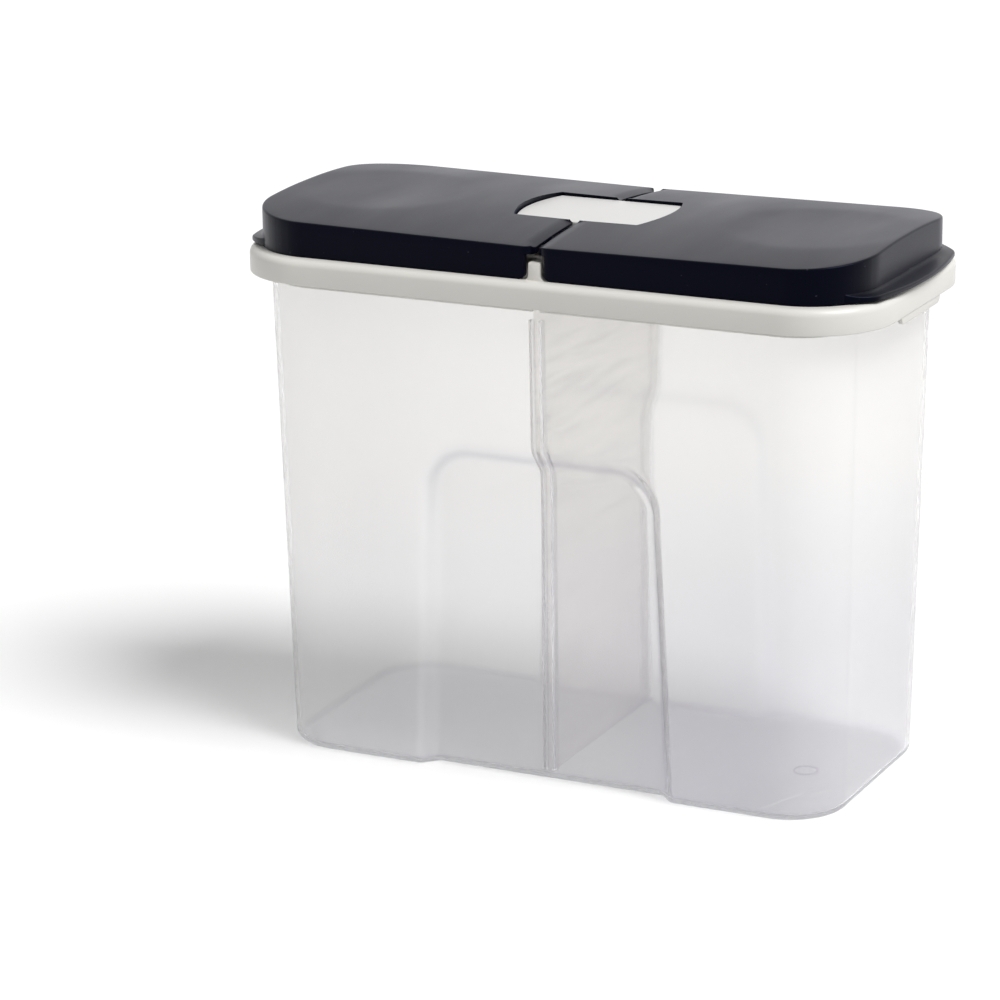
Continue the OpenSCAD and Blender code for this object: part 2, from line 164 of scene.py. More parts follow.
def verts_of(geom):
    return [v for v in geom if isinstance(v, bmesh.types.BMVert)]


def pull(bm, loop):
    """Extrude a ring and return the new one in the same order."""
    fresh = set(verts_of(bmesh.ops.extrude_edge_only(bm, edges=ring_edges(loop))["geom"]))
    return [next(e.other_vert(old) for e in old.link_edges if e.other_vert(old) in fresh)
            for old in loop]


def raise_faces(bm, faces):
    """Extrude a patch of faces and return the vertices of its new top."""
    made = bmesh.ops.extrude_face_region(bm, geom=faces)["geom"]
    bmesh.ops.delete(bm, geom=faces, context="FACES")
    return verts_of(made)


def piece(bm, name, skin, body, slot, *nodes, sharp=35):
    """Make an object of a finished bmesh, in metres, riding on its body."""
    bmesh.ops.scale(bm, vec=(MM, MM, MM), verts=bm.verts)
    for face in bm.faces:
        face.smooth = True
    mesh = bpy.data.meshes.new(name)
    bm.to_mesh(mesh)
    bm.free()
    mesh.set_sharp_from_angle(angle=math.radians(sharp))
    mesh.materials.append(skin)
    made = bpy.data.objects.new(name, mesh)
    bpy.context.scene.collection.objects.link(made)
    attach(made, body)
    if nodes:
        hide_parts(*nodes)


class Wire:
    """A socket of one paint. Sums on it add Math nodes."""

    def __init__(self, paint, socket):
        self.paint = paint
        self.socket = socket

    def __add__(self, other):
        return self.paint.math("ADD", self, other)

    def __radd__(self, other):
        return self.paint.math("ADD", other, self)

    def __mul__(self, other):
        return self.paint.math("MULTIPLY", self, other)

    def __rmul__(self, other):
        return self.paint.math("MULTIPLY", other, self)


class Paint:
    """A material, or the world's, with one method that adds any node to it."""

    def __init__(self, name, tree=None):
        if tree is None:
            self.material = bpy.data.materials.new(name)
            self.material.use_nodes = True
            tree = self.material.node_tree
        self.tree = tree
        tree.nodes.clear()

    def node(self, kind, settings=None, sockets=None, out=0):
        made = self.tree.nodes.new(kind)
        for key, value in (settings or {}).items():
            if key == "stops":
                ramp = made.color_ramp.elements
                while len(ramp) < len(value):
                    ramp.new(0.5)
                for stop, (place, colour) in zip(ramp, value):
                    stop.position = place
                    stop.color = (*colour, 1)
            else:
                setattr(made, key, value)
        for key, value in (sockets or {}).items():
            if isinstance(value, Wire):
                self.tree.links.new(value.socket, made.inputs[key])
            else:
                made.inputs[key].default_value = value
        return Wire(self, made.outputs[out]) if made.outputs else None

    def math(self, operation, a, b):
        return self.node("ShaderNodeMath", {"operation": operation}, {0: a, 1: b})

    def place(self):
        """Where a point lies on the object, in metres."""
        return self.node("ShaderNodeTexCoord", out="Object")

    def along(self, axis):
        """The same, along one axis."""
        return self.node("ShaderNodeSeparateXYZ", None, {0: self.place()}, out=axis)

    def stretched(self, x, y, z, tilt=0.0):
        """The same, multiplied along each axis, then tilted about X by an angle in degrees."""
        return self.node("ShaderNodeMapping", {"vector_type": "POINT"},
                         {"Vector": self.place(), "Rotation": (math.radians(tilt), 0, 0),
                          "Scale": (x, y, z)})

    def grain(self, scale, detail=2.0, at=None):
        """Noise from 0 to 1."""
        return self.node("ShaderNodeTexNoise", {"noise_dimensions": "3D"},
                         {"Vector": at or self.place(), "Scale": scale, "Detail": detail,
                          "Roughness": 0.5})

    def blend(self, share, under, over):
        """A colour over another one. Its sockets go by number, since their names repeat."""
        return self.node("ShaderNodeMix", {"data_type": "RGBA"},
                         {"Factor": share, 6: under, 7: (*over, 1)}, out=2)

    def ramp(self, share, *stops):
        return self.node("ShaderNodeValToRGB", {"stops": stops}, {"Fac": share})

    def step(self, value, start, end):
        """A soft change from 0 at start to 1 at end."""
        return self.node("ShaderNodeMapRange", {"interpolation_type": "SMOOTHSTEP"},
                         {"Value": value, "From Min": start, "From Max": end,
                          "To Min": 0.0, "To Max": 1.0})

    def bump(self, height, strength, distance):
        return self.node("ShaderNodeBump", None,
                         {"Height": height, "Strength": strength, "Distance": distance})

    def plastic(self, **sockets):
        return self.node("ShaderNodeBsdfPrincipled", None, sockets)

    def finish(self, shader):
        self.node("ShaderNodeOutputMaterial", None, {"Surface": shader})
        return self.material


def frosted(name, clear, dull, index, passes, scuffed=0.0):
    """Milky see-through polypropylene. Light from the lamps is let through, dimmed."""
    paint = Paint(name)
    # soft clouds, upright flow lines and the matt grain of the mould
    cloud = paint.grain(22, 3.0)
    flow = paint.grain(60, 3.0, at=paint.stretched(1, 1, 0.08))
    matt = paint.grain(1400)
    milk = cloud * 0.6 + flow * 0.4
    tone = paint.ramp(milk, (0.25, dull), (0.7, clear))
    if scuffed:
        slanted = paint.stretched(1, 0.06, 1, tilt=-24)
        rubs = paint.ramp(paint.grain(420, at=slanted), (0.5, black), (0.68, bright))
        tone = paint.blend(rubs * scuffed, tone, scuff_tone)
    # painted shade: greyer low down and more so to the right, standing in for the shaded paper
    # seen through the walls; greyer at both ends; and a painted shade along the foot, for the
    # ground in shade under the floor
    height = paint.along("Z")
    sideways = paint.along("X")
    low = paint.step(height, 0.14, 0.03)
    right = paint.step(sideways, 0.0, 0.1)
    tone = paint.blend(low * (right * 0.62 + 0.38), tone, painted_low_shade)
    ends = paint.step(sideways, 0.05, 0.115) + paint.step(sideways, -0.01, -0.115)
    tone = paint.blend(ends * 0.5, tone, end_tone)
    # painted shade along the foot, for the shaded ground under the floor
    tone = paint.blend(paint.step(height, 0.004, 0.0015) * 0.5, tone, painted_foot_shade)
    # painted shade and refraction lines along the recess folds, the ribs and the mould ring,
    # read from a vertex attribute
    fold = paint.node("ShaderNodeAttribute",
                      {"attribute_type": "GEOMETRY", "attribute_name": "fold"}, out="Fac")
    tone = paint.blend(fold * 0.6, tone, painted_fold_shade)
    body = paint.plastic(**{
        "Base Color": tone, "Roughness": 0.12 + milk * 0.06, "IOR": index,
        "Transmission Weight": 0.86,
        "Normal": paint.bump(matt * 0.8 + flow * 0.2, 0.12, 0.00003)})
    lamp = paint.node("ShaderNodeLightPath", out="Is Shadow Ray")
    hole = paint.node("ShaderNodeBsdfTransparent", None, {"Color": (passes, passes, passes, 1)})
    return paint.finish(paint.node("ShaderNodeMixShader", None, {0: lamp, 1: body, 2: hole}))


black = (0, 0, 0)
bright = (1, 1, 1)
scuff_tone = (0.72, 0.72, 0.72)
# painted shade, greyer low down on the walls
painted_low_shade = (0.82, 0.815, 0.845)
# painted shade along the foot
painted_foot_shade = (0.70, 0.70, 0.75)
# painted shade along the recess folds and ribs
painted_fold_shade = (0.74, 0.74, 0.79)
end_tone = (0.92, 0.915, 0.91)
tub_plastic = frosted("frosted_tub", (0.996, 0.992, 0.983), (0.98, 0.976, 0.97), 1.12, 0.665)

# Rings of the wall by height, and by how far the rounding of the foot draws them in. They
# lie close together where the top of the recess ramps.
heights = []
for i in range(7):
    t = math.radians(15 * i)
    heights.append((foot_round * (1 - math.cos(t)), foot_round * (1 - math.sin(t))))
levels = [6, 14, 24, 34, 44, 54, 64, 74, 84, 92] + [96 + fine_step * i for i in range(37)]
levels += [130, 140, 150, 160, rib_end, 173, tub_height - lip_drop, tub_height]
heights += [(z, 0) for z in levels]

tub = bmesh.new()
loop = ring(tub, wall_ring(*heights[0]), heights[0][0])
tub.faces.new(list(reversed(loop)))
for z, inset in heights[1:]:
    loop = pull(tub, loop)
    for vert, (x, y) in zip(loop, wall_ring(z, inset)):
        vert.co = (x, y, z)
bmesh.ops.recalc_face_normals(tub, faces=tub.faces[:])
bmesh.ops.solidify(tub, geom=tub.faces[:], thickness=tub_wall)
bmesh.ops.recalc_face_normals(tub, faces=tub.faces[:])
# the mouth's inner edge, which solidify tilts, is set level
for vert in tub.verts:
    vert.co.z = min(vert.co.z, tub_height)


def outward(face):
    """Whether a wall's face looks away from the middle of the tub."""
    at = face.calc_center_median()
    return face.normal.x * at.x + face.normal.y * at.y > 0


lip = [f for f in tub.faces if outward(f) and abs(f.normal.z) < 0.5
       and f.calc_center_median().z > tub_height - lip_drop]
lip_face = raise_faces(tub, lip)
tub.normal_update()
for vert in lip_face:
    vert.co += Vector((vert.normal.x, vert.normal.y, 0)).normalized() * lip_reach


def on_rib(face):
    """Whether a face of the inside is where a rib stands."""
    at = face.calc_center_median()
    return (rib_near < abs(at.x) < rib_far and foot_round < at.z < rib_end + 0.2
            and not outward(face) and abs(face.normal.z) < 0.9)


# Where the wall folds into the recess, and on the ribs, grey is painted in for the shade and
# the dark refraction lines of these bends. A vertex attribute holds how much: less on the back
# wall and low on the left.
fold_share = 0.4
fold_width = 0.2
back_shade = 0.45
faint_shade = 0.4
faint_from = 80
faint_over = 30
rib_shade = 0.8
mark_shade = 0.2

fold = tub.verts.layers.float.new("fold")
rib_tops = raise_faces(tub, [f for f in tub.faces if on_rib(f)])
for vert in rib_tops:
    vert.co.y -= math.copysign(rib_reach, vert.co.y)
bmesh.ops.recalc_face_normals(tub, faces=tub.faces[:])
for vert in tub.verts:
    share = recess_share(vert.co.x, vert.co.z)
    if abs(vert.co.y) > recess_y - 6 and 0.02 < share < 0.98:
        vert[fold] = math.exp(-((share - fold_share) / fold_width) ** 2)
        vert[fold] *= 1 if vert.co.y < 0 else back_shade
        if vert.co.x < 0:
            vert[fold] *= min(max((vert.co.z - faint_from) / faint_over, faint_shade), 1)
for vert in rib_tops:
    vert[fold] = rib_shade
piece(tub, "tub_shell", tub_plastic, "tub", "tub", "tub", sharp=50)

# The moulder's mark: a plain raised ring on the floor of the right compartment.
mark_x = 81.0
mark_y = -3.0
mark_radius = 4.3
mark_low = tub_wall - 0.1


def mark_circle(radius):
    """Points round the mark, counter-clockwise from its left."""
    turns = [math.radians(7.5 * i - 176) for i in range(48)]
    return [(mark_x + radius * math.cos(t), mark_y + radius * math.sin(t)) for t in turns]


mark = bmesh.new()
loop = ring(mark, mark_circle(mark_radius), mark_low)
for out, up in ((0.35, 0.0), (0.2, 0.35), (-0.2, 0.35), (-0.35, 0.0)):
    loop = pull(mark, loop)
    for vert, (x, y) in zip(loop, mark_circle(mark_radius + out)):
        vert.co = (x, y, mark_low + up)
bmesh.ops.remove_doubles(mark, verts=mark.verts, dist=0.0001)
bmesh.ops.recalc_face_normals(mark, faces=mark.faces[:])
# the ring takes a little of the same painted shade, so that it shows as a grey outline
tint = mark.verts.layers.float.new("fold")
for vert in mark.verts:
    vert[tint] = mark_shade
piece(mark, "mould_ring", tub_plastic, "tub", "tub")

# ---------- divider ----------
# A flat plate of the same frosted plastic. It slides down between the ribs, and its
# long edges step in to follow the recesses.

divider_thick = 1.8
divider_low = 2.5
divider_high = 178.2
divider_gap = 0.3


def inner_face_y(z):
    """Where the inside of the long wall lies on the middle line, at a height."""
    slope = (outer_y(0, z + 0.2) - outer_y(0, z - 0.2)) / 0.4
    return outer_y(0, z) - tub_wall * math.hypot(1, slope)


def distinct(items):
    """The same items in their order, each once."""
    return list(dict.fromkeys(items))


def soften(bm, edges, offset, segments=2):
    """Bevel edges a little, as a mould leaves them."""
    bmesh.ops.bevel(bm, geom=edges, offset=offset, offset_type="OFFSET", segments=segments,
                    profile=0.5, affect="EDGES", material=-1)


divider = bmesh.new()
levels = [divider_low, 30, 60, 90, 104] + [108 + 0.5 * i for i in range(34)]
levels += [132, 150, divider_high]
bmesh.ops.create_grid(divider, x_segments=1, y_segments=len(levels) - 1, size=1)
for vert in divider.verts:
    level = levels[round((vert.co.y + 1) / 2 * (len(levels) - 1))]
    reach = inner_face_y(level) - divider_gap
    vert.co = (-divider_thick / 2, math.copysign(reach, vert.co.x), level)
made = bmesh.ops.extrude_face_region(divider, geom=divider.faces[:])["geom"]
bmesh.ops.translate(divider, vec=(divider_thick, 0, 0), verts=verts_of(made))
bmesh.ops.recalc_face_normals(divider, faces=divider.faces[:])
rim = [e for e in divider.edges if e.is_manifold and e.calc_face_angle() > 1]
soften(divider, rim, 0.25)
divider_plastic = frosted("frosted_divider", (0.93, 0.908, 0.888), (0.91, 0.89, 0.875),
                          1.01, 0.85, scuffed=0.5)
piece(divider, "divider_plate", divider_plastic, "divider", "divider", "divider", sharp=50)

# ---------- collar ----------
# One moulding in warm white polypropylene. Its band hangs over the mouth of the tub,
# a thin skirt seals inside it, and two raised mouths stand on its deck. It is pushed
# on from above and pulled off by the tab at either end.

deck_z = 182.2
deck_thick = 2.4
band_half_length = 120.0
band_half_depth = 57.5
band_corner = 30.0
band_low = 173.2
band_thick = 2.2
band_round = 2.6
band_edge = 0.5
mouth_from = 30.0
mouth_to = 104.0
mouth_half = 42.0
mouth_corner = 16.0
mouth_corner_in = 6.0
mouth_rise = 7.3
mouth_thick = 1.8
mouth_fillet = 0.6


def arc(x, y, r, start, steps):
    """Points of a quarter circle, counter-clockwise."""
    return [(x + r * math.cos(math.radians(start + 90 * i / steps)),
             y + r * math.sin(math.radians(start + 90 * i / steps))) for i in range(steps + 1)]


def d_outline(x0, x1, half, r0, r1, steps=16):
    """Outline with one corner radius at its near end and one at its far end."""
    return (arc(x1 - r1, -(half - r1), r1, -90, steps) + arc(x1 - r1, half - r1, r1, 0, steps)
            + arc(x0 + r0, half - r0, r0, 90, steps)
            + arc(x0 + r0, -(half - r0), r0, 180, steps))


def mirrored(points):
    """The same outline turned by half a turn."""
    return [(-x, -y) for x, y in points]


def outward_at(loop):
    """The outward direction in plan at each vertex of a ring, stretched at its corners."""
    out = []
    for before, here, after in zip(loop[-1:] + loop[:-1], loop, loop[1:] + loop[:1]):
        p = (here.co - before.co).to_2d().normalized()
        q = (after.co - here.co).to_2d().normalized()
        p = Vector((p.y, -p.x))
        q = Vector((q.y, -q.x))
        out.append((p + q) / (1 + p.dot(q)))
    return out


def sweep(bm, loop, steps):
    """Pull a ring through a profile of (outward, upward) places, from where it is."""
    ways = outward_at(loop)
    start = [v.co.copy() for v in loop]
    for out, up in steps:
        loop = pull(bm, loop)
        for vert, at, way in zip(loop, start, ways):
            vert.co = at + Vector((way.x * out, way.y * out, up))
    return loop


def fill(bm, *loops):
    """Close flat faces between rings that lie at one height."""
    edges = [e for loop in loops for e in ring_edges(loop)]
    bmesh.ops.triangle_fill(bm, edges=edges, use_beauty=True, use_dissolve=False)


def rounding(r, start, end, steps=5):
    """Places on a circle about (0, 0), by angle in degrees."""
    turns = [math.radians(start + (end - start) * i / steps) for i in range(steps + 1)]
    return [(r * math.cos(t), r * math.sin(t)) for t in turns]


def white_plastic(name, colour):
    """Warm white polypropylene, satin, with the fine grain of a spark-finished mould."""
    paint = Paint(name)
    cloud = paint.grain(35, 3.0)
    fine = paint.grain(1800)
    dark_side = tuple(c * 0.975 for c in colour)
    return paint.finish(paint.plastic(**{
        "Base Color": paint.ramp(cloud, (0.3, dark_side), (0.7, colour)),
        "Roughness": 0.32 + cloud * 0.1, "IOR": 1.49,
        "Normal": paint.bump(fine * 0.8 + cloud * 0.2, 0.3, 0.00003)}))


white = white_plastic("warm_white", (0.725, 0.71, 0.67))

collar = bmesh.new()
band_outline = d_outline(-band_half_length + band_round, band_half_length - band_round,
                         band_half_depth - band_round, band_corner - band_round,
                         band_corner - band_round)
mouth_outline = d_outline(mouth_from, mouth_to, mouth_half, mouth_corner_in, mouth_corner)
brim_out = mouth_thick + mouth_fillet
top = ring(collar, band_outline, deck_z)
brims = []
for outline in (mouth_outline, mirrored(mouth_outline)):
    inner = ring(collar, outline, deck_z)
    for vert, way in zip(inner, outward_at(inner)):
        vert.co += Vector((way.x, way.y, 0)) * brim_out
    brims.append(inner)
fill(collar, top, *brims)
height = deck_z - band_low
outside = [(x, y - band_round) for x, y in rounding(band_round, 90, 0, 8)][1:]
foot = [(band_round - band_edge + x, -height + band_edge + y)
        for x, y in rounding(band_edge, 0, -90, 3)]
inside = [(band_round - band_thick, -height), (band_round - band_thick, -deck_thick)]
under = sweep(collar, top, outside + foot + inside)
# each mouth's rim rises from a fillet, turns over in a half round and runs down the well
half = mouth_thick / 2
fillet = [(-x, mouth_fillet - y) for x, y in rounding(mouth_fillet, 90, 0, 4)][1:]
crest = [(-mouth_fillet - half + x, mouth_rise - half + y)
         for x, y in rounding(half, 0, 180, 8)]
wells = [sweep(collar, brim, fillet + crest + [(-brim_out, -deck_thick)]) for brim in brims]
fill(collar, under, *wells)
bmesh.ops.recalc_face_normals(collar, faces=collar.faces[:])
piece(collar, "collar_frame", white, "collar", "collar", "collar", sharp=40)

# The skirt is part of the same moulding: a thin ring below the deck, with a slot on
# each long side for the dividing plate.

skirt_half_length = 107.7
skirt_half_depth = 51.4
skirt_corner = 19.7
skirt_thick = 1.6
skirt_low = 171.0
skirt_slot = 1.5
skirt_tip = 0.4
skirt_root = 1.0

skirt = bmesh.new()
rounds = d_outline(-skirt_half_length, skirt_half_length, skirt_half_depth, skirt_corner,
                   skirt_corner)
half_ring = [(skirt_slot, -skirt_half_depth), *rounds[:len(rounds) // 2],
             (skirt_slot, skirt_half_depth)]
skirt_loop = ring(skirt, half_ring + mirrored(half_ring), deck_z - skirt_root)
low = skirt_low - deck_z + skirt_root
tip = [(x - skirt_tip, low + skirt_tip + y) for x, y in rounding(skirt_tip, 0, -90, 3)]
back = [(-skirt_thick, low), (-skirt_thick, 0)]
last = sweep(skirt, skirt_loop, tip + back)
bmesh.ops.bridge_loops(skirt, edges=ring_edges(skirt_loop) + ring_edges(last))
slot_faces = [f for f in skirt.faces if abs(f.calc_center_median().x) < skirt_slot - 0.1]
bmesh.ops.delete(skirt, geom=slot_faces, context="FACES")
bmesh.ops.holes_fill(skirt, edges=[e for e in skirt.edges if e.is_boundary], sides=0)
bmesh.ops.recalc_face_normals(skirt, faces=skirt.faces[:])
piece(skirt, "collar_skirt", white, "collar", "collar")

# The bridge is the low wall under the parting line. A filleted post ends it front and
# back, four ears on the deck hold the hinge pins, and a pedestal of ribs and two sockets
# carries the cap.

bridge_half = 52.7
bridge_thick = 4.0
bridge_rise = 5.0
post_half_width = 2.2
post_rise = 6.2
post_long = 3.0
post_fillet = 2.0
post_edge = 0.5
hinge_x = 6.0
hinge_z = 192.0
pin_radius = 1.2
ear_radius = 2.2
ear_middle = 27.5
ear_thick = 4.0
pedestal_y = 11.0
pedestal_half_length = 20.0
pedestal_half_depth = 15.0
pedestal_half_thick = 1.0
cap_under = 193.76
stud_x = 13.0
stud_radius = 2.0
stud_gap = 0.1
socket_wall = 1.6
socket_deep = 6.5
root = 0.5
rooted = deck_z - root


def block(bm, low, high, edge=0.3):
    """A rectangular rib with softened edges."""
    made = bmesh.ops.create_cube(bm, size=1)["verts"]
    size = [b - a for a, b in zip(low, high)]
    for vert in made:
        vert.co = [a + s * (c + 0.5) for a, s, c in zip(low, size, vert.co)]
    soften(bm, distinct(e for v in made for e in v.link_edges), edge)


def slab(bm, outline, y, thick, edge=0.25):
    """An outline in the XZ plane, pushed along Y, with softened edges."""
    made = bmesh.ops.create_circle(bm, segments=len(outline), radius=1, cap_ends=True)["verts"]
    made.sort(key=lambda v: math.atan2(v.co.y, v.co.x))
    for vert, (x, z) in zip(made, outline):
        vert.co = (x, y, z)
    face = made[0].link_faces[0]
    far = verts_of(bmesh.ops.extrude_face_region(bm, geom=[face])["geom"])
    bmesh.ops.translate(bm, vec=(0, thick, 0), verts=far)
    faces = distinct(f for v in made + far for f in v.link_faces)
    bmesh.ops.recalc_face_normals(bm, faces=faces)
    rims = distinct(e for end in (made, far) for v in end for e in v.link_edges
                    if e.other_vert(v) in end)
    soften(bm, rims, edge)


def disc(x, radius, steps=24):
    """Points round a stud or its socket, which stand on the middle line."""
    turns = rounding(radius, 0, 360 - 360 / steps, steps - 1)
    return [(x + across, along) for across, along in turns]


fittings = bmesh.new()
block(fittings, (-bridge_thick / 2, -bridge_half + post_long, rooted),
      (bridge_thick / 2, bridge_half - post_long, deck_z + bridge_rise))
foot = [(post_half_width + post_fillet - x, post_fillet - y)
        for x, y in rounding(post_fillet, 90, 0, 6)]
crown = [(post_half_width - post_edge + x, post_rise - post_edge + y)
         for x, y in rounding(post_edge, 0, 90, 3)]
half_post = [(x, deck_z + z)
             for x, z in [(post_half_width + post_fillet, -root)] + foot + crown]
post = half_post + [(-x, z) for x, z in reversed(half_post)]
for y in (-bridge_half, bridge_half - post_long):
    slab(fittings, post, y, post_long)
for side in (-1, 1):
    middle = side * hinge_x
    head = [(middle + x, hinge_z + z) for x, z in rounding(ear_radius, 0, 180, 15)]
    stem = [(middle - ear_radius, rooted), (middle + ear_radius, rooted)]
    for end in (-1, 1):
        slab(fittings, head + stem, end * ear_middle - ear_thick / 2, ear_thick)
    y = side * pedestal_y
    block(fittings, (-pedestal_half_length, y - pedestal_half_thick, rooted),
          (pedestal_half_length, y + pedestal_half_thick, cap_under))
    socket = ring(fittings, disc(side * stud_x, stud_radius + socket_wall), rooted)
    tall = cap_under - rooted
    bore = stud_gap - socket_wall
    rim = sweep(fittings, socket, [(0, tall), (bore, tall), (bore, tall - socket_deep)])
    bmesh.ops.contextual_create(fittings, geom=ring_edges(rim))
    bmesh.ops.contextual_create(fittings, geom=ring_edges(socket))
block(fittings, (-bridge_thick / 2, -pedestal_half_depth, deck_z),
      (bridge_thick / 2, pedestal_half_depth, cap_under))
block(fittings, (-stud_x, -pedestal_half_thick, rooted),
      (stud_x, pedestal_half_thick, cap_under - 0.2))
bmesh.ops.recalc_face_normals(fittings, faces=fittings.faces[:])
piece(fittings, "collar_fittings", white, "collar", "collar")

# The pull tab at either end is a rounded tongue that carries the band's face down.

tab_half = 18.5
tab_low = 170.5
tab_corner = 2.5
tab_face = 119.6
tab_thick = 1.7
tab_root = 2.0
tab_edge = 0.35

tabs = bmesh.new()
tongue = (arc(tab_half - tab_corner, tab_low + tab_corner, tab_corner, -90, 6)
          + [(tab_half, band_low + tab_root), (-tab_half, band_low + tab_root)]
          + arc(-tab_half + tab_corner, tab_low + tab_corner, tab_corner, 180, 6))
slab(tabs, tongue, tab_face - tab_thick, tab_thick, edge=tab_edge)
bmesh.ops.rotate(tabs, cent=(0, 0, 0), matrix=Matrix.Rotation(math.radians(-90), 3, "Z"),
                 verts=tabs.verts)
twin = bmesh.ops.duplicate(tabs, geom=tabs.verts[:] + tabs.edges[:] + tabs.faces[:])["geom"]
bmesh.ops.rotate(tabs, cent=(0, 0, 0), matrix=Matrix.Rotation(math.pi, 3, "Z"),
                 verts=verts_of(twin))
piece(tabs, "collar_tabs", white, "collar", "collar")

# ---------- centre plate ----------
# A white cap between the flaps, straight along its long sides and bowed at its ends,
# pressed into the pedestal by two studs.

cap_half_length = 26.85
cap_half_width = 19.0
cap_bow = 48.0
cap_thick = 2.0
cap_edge = 0.5
stud_long = 6.0
stud_tip = 0.5


def cap_outline(grow, steps=28):
    """The bowed right end, grown on all sides, from the front corner to the back one."""
    reach = math.degrees(math.asin((cap_half_width + grow) / cap_bow))
    middle = cap_half_length + grow - cap_bow
    return [(middle + x, y) for x, y in rounding(cap_bow, -reach, reach, steps)]


cap_white = white_plastic("cap_white", (0.675, 0.668, 0.655))
cap = bmesh.new()
bowed = cap_outline(-cap_edge)
cap_loop = ring(cap, bowed + mirrored(bowed), cap_under + cap_thick)
cap.faces.new(cap_loop)
sides = [(x, y - cap_edge) for x, y in rounding(cap_edge, 90, 0, 5)][1:]
low_loop = sweep(cap, cap_loop, sides + [(cap_edge, -cap_thick)])
bmesh.ops.contextual_create(cap, geom=ring_edges(low_loop))
for side in (-1, 1):
    stud = ring(cap, disc(side * stud_x, stud_radius), cap_under + 0.5)
    tip = sweep(cap, stud, [(0, -stud_long), (-stud_tip, -stud_long - stud_tip)])
    bmesh.ops.contextual_create(cap, geom=ring_edges(tip))
    bmesh.ops.contextual_create(cap, geom=ring_edges(stud))
bmesh.ops.recalc_face_normals(cap, faces=cap.faces[:])
piece(cap, "centre_cap", cap_white, "collar", "centre_plate", "centre_plate")

# ---------- flaps ----------
# Two lids of one moulding, turned by half a turn. Each has a crowned top with a shallow
# thumb dish, walls down to the deck, a ring that closes its mouth, a finger lip at its
# end, and two cheeks whose pins snap into the ears of the collar.

flap_foot = 182.3
flap_near = 0.9
flap_far = 115.2
flap_half = 52.7
flap_corner = 25.2
parting_corner = 4.0
parting_bevel = 1.0
flap_thick = 1.8
flap_rim = 0.8
crown_top = 197.0
crown_radius = 410.1
end_rise = 1.2
dish_x = 78.0
dish_half = 32.0
dish_depth = 1.2
dish_softness = 0.016
wall_from = 3.7
thin_edge_low = 191.0
wall_round = 2.3
notch_gap = 0.7
flap_mesh = 2.6


def crown_z(x, y):
    """Height of the flap's top, with the thumb dish blended softly into the crown."""
    crown = (crown_top + end_rise * x / flap_far + math.sqrt(crown_radius ** 2 - y * y)
             - crown_radius)
    bed = (crown_top + end_rise * dish_x / flap_far - dish_depth
           + dish_depth * ((x - dish_x) / dish_half) ** 2)
    return (crown + bed - math.sqrt((crown - bed) ** 2 + dish_softness)) / 2


def wall_beside(x, y):
    """Outward direction in plan of the nearest wall, and how far inside it a point lies."""
    for middle, radius, past in ((flap_far - flap_corner, flap_corner, 1),
                                 (flap_near + parting_corner, parting_corner, -1)):
        deep = flap_half - radius
        if (x - middle) * past > 0 and abs(y) > deep:
            spoke = Vector((x - middle, y - math.copysign(deep, y)))
            return spoke.normalized(), radius - spoke.length
    if x > flap_far - flap_corner:
        return Vector((1, 0)), flap_far - x
    return Vector((0, math.copysign(1, y))), flap_half - abs(y)


def rim_at(x):
    """Radius of the top's rounded edge, which runs out at the parting line."""
    return flap_rim * min(max((x - flap_near) / parting_corner, 0), 1)


def inner_face(x, y, z):
    """Partner on the inner face of a point on the outer face."""
    if x < flap_near + parting_corner:
        reach = parting_corner ** 2 - (flap_near + parting_corner - x) ** 2
        edge = flap_half - parting_corner + math.sqrt(max(reach, 0))
        y = math.copysign(min(abs(y), edge - flap_thick), y)
    else:
        way, inside = wall_beside(x, y)
        step = max(flap_thick - inside, 0)
        x, y = x - way.x * step, y - way.y * step
    return Vector((x, y, min(z, crown_z(x, y) - flap_thick)))


def draw_out(bm, edges):
    """Extrude edges. Returns the new edges, and each new vertex with the one it left."""
    made = bmesh.ops.extrude_edge_only(bm, edges=edges)["geom"]
    fresh = set(verts_of(made))
    pairs = {v: next(e.other_vert(v) for e in v.link_edges if e.other_vert(v) not in fresh)
             for v in verts_of(made)}
    lines = [e for e in made if isinstance(e, bmesh.types.BMEdge) and set(e.verts) <= fresh]
    return lines, pairs


def cut(bm, at, way, clear=False):
    """Cut a mesh along a plane, and with clear drop what lies past it."""
    bmesh.ops.bisect_plane(bm, geom=bm.verts[:] + bm.edges[:] + bm.faces[:], plane_co=at,
                           plane_no=way, dist=0.0001, clear_outer=clear)


